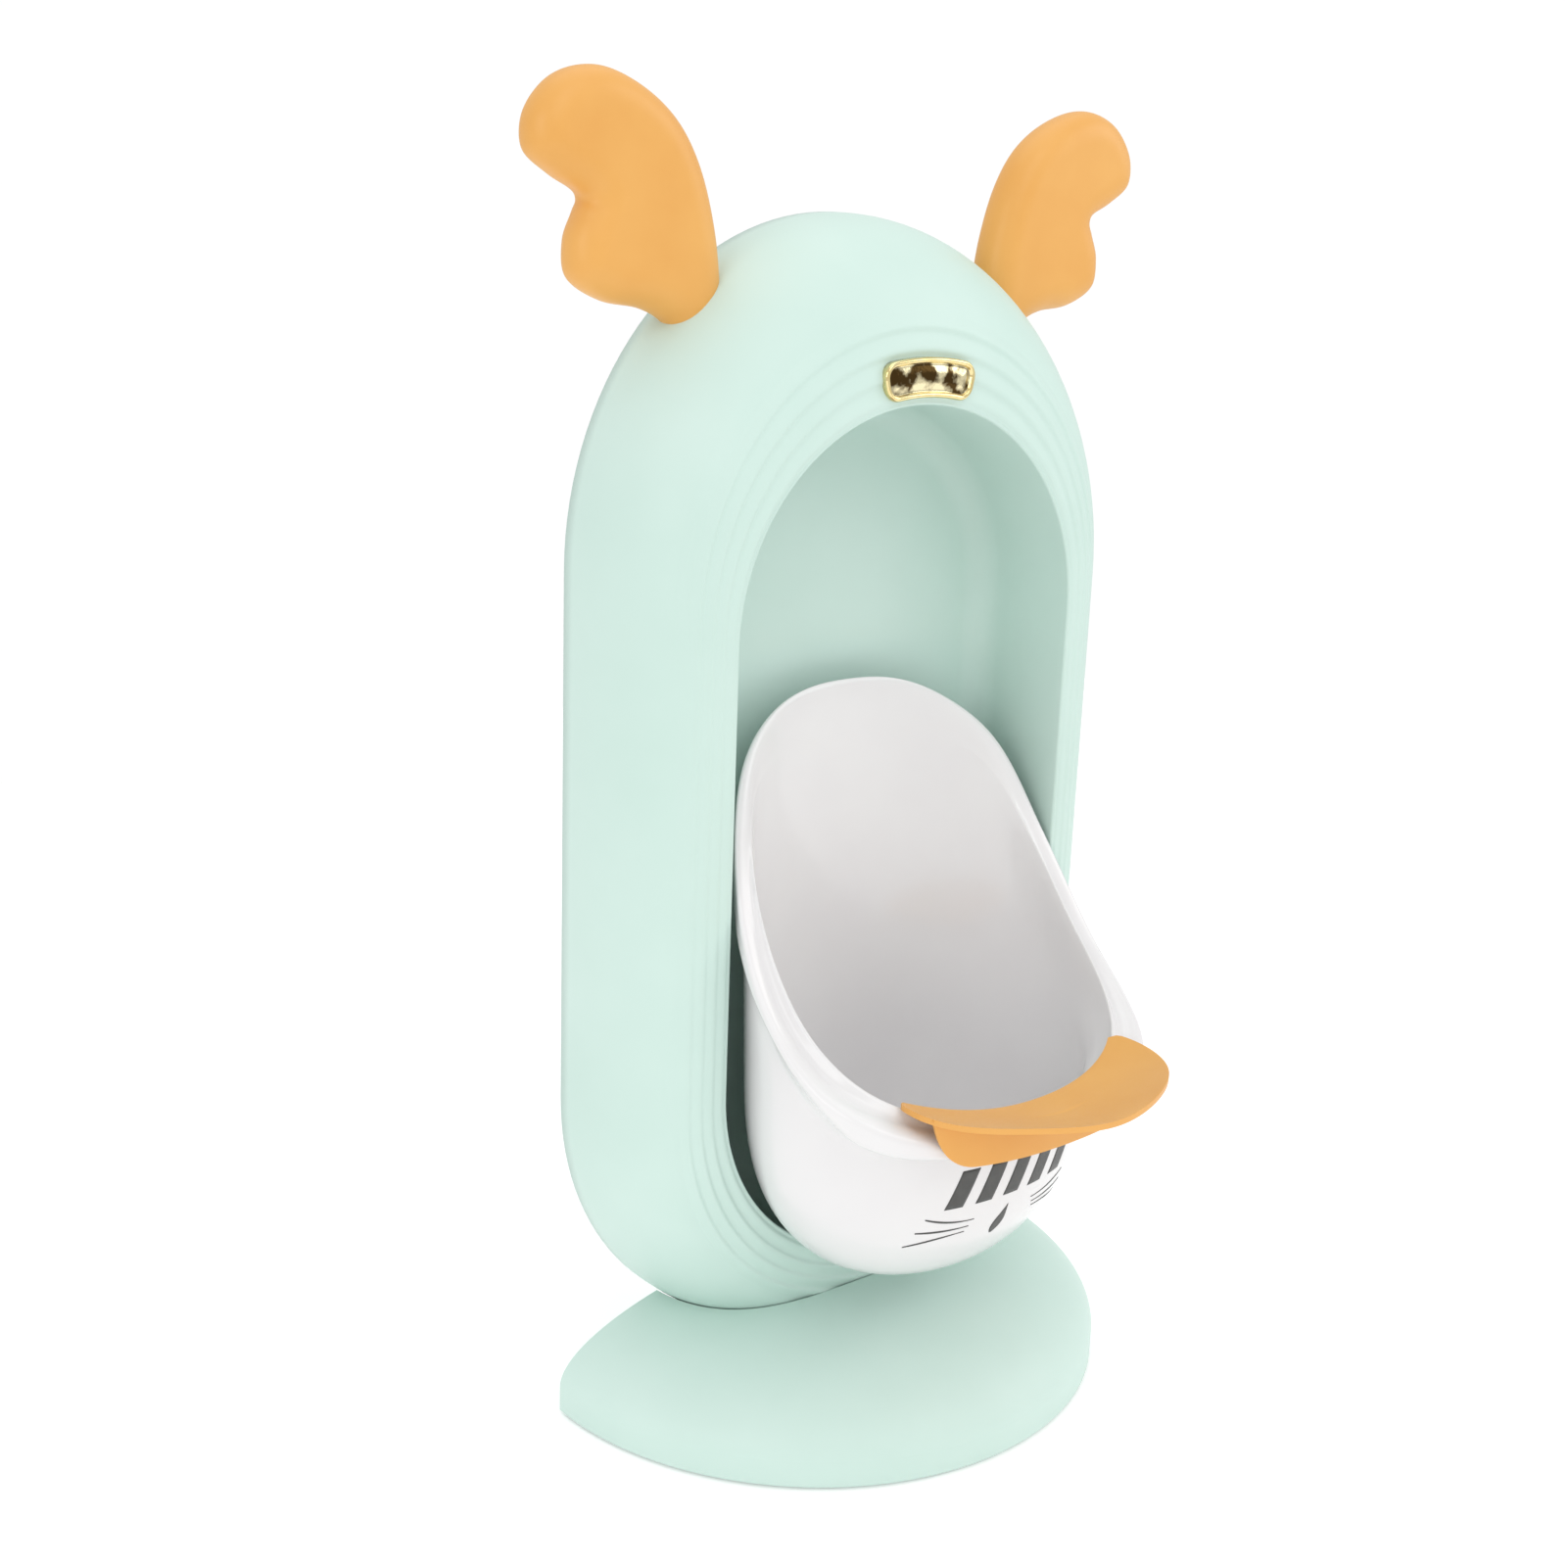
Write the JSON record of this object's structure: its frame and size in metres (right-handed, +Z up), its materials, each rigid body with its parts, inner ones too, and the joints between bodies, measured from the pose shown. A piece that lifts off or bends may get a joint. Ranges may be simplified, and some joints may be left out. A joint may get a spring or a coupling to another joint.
{
  "type": "training urinal",
  "caption": "Free-standing upright training urinal: arched niche body with antlers on a domed foot, lift-off tub with clip-on splash guard.",
  "frame": {"origin": "centre of the object's footprint box, on the floor", "axes": "+Z up; -Y is the front, where the tub faces; +X is to the right seen from the front"},
  "size_m": [0.263, 0.16, 0.4579],
  "materials": {
    "mint": "satin moulded polypropylene, pale mint",
    "white": "gloss moulded polypropylene, white",
    "orange": "satin moulded polypropylene, warm orange",
    "gold": "polished gold-coloured plating",
    "steel": "zinc plated steel",
    "rubber": "soft grey elastomer"
  },
  "bodies": {
    "stand": {"front_shell": "mint", "back_cover": "mint", "back_cover_screws": "steel", "bowl_hanger": "mint", "hanger_screws": "steel", "left_antler": "orange", "right_antler": "orange", "antler_screws": "steel", "antler_washers": "steel", "badge": "gold", "foot_cover": "mint", "foot_plate": "mint", "foot_plate_screws": "steel", "stand_screws": "steel", "rear_right_foot": "rubber", "rear_left_foot": "rubber", "front_right_foot": "rubber", "front_left_foot": "rubber"},
    "bowl": {"bowl": "white"},
    "splash_guard": {"splash_guard": "orange"}
  },
  "joints": [
    {"name": "bowl_lift", "type": "slide", "parent": "stand", "child": "bowl", "axis": [0, -0.7071, 0.7071], "range_m": [0, 0.18]},
    {"name": "guard_pull", "type": "slide", "parent": "bowl", "child": "splash_guard", "axis": [0, 0, 1], "range_m": [0, 0.06]}
  ]
}
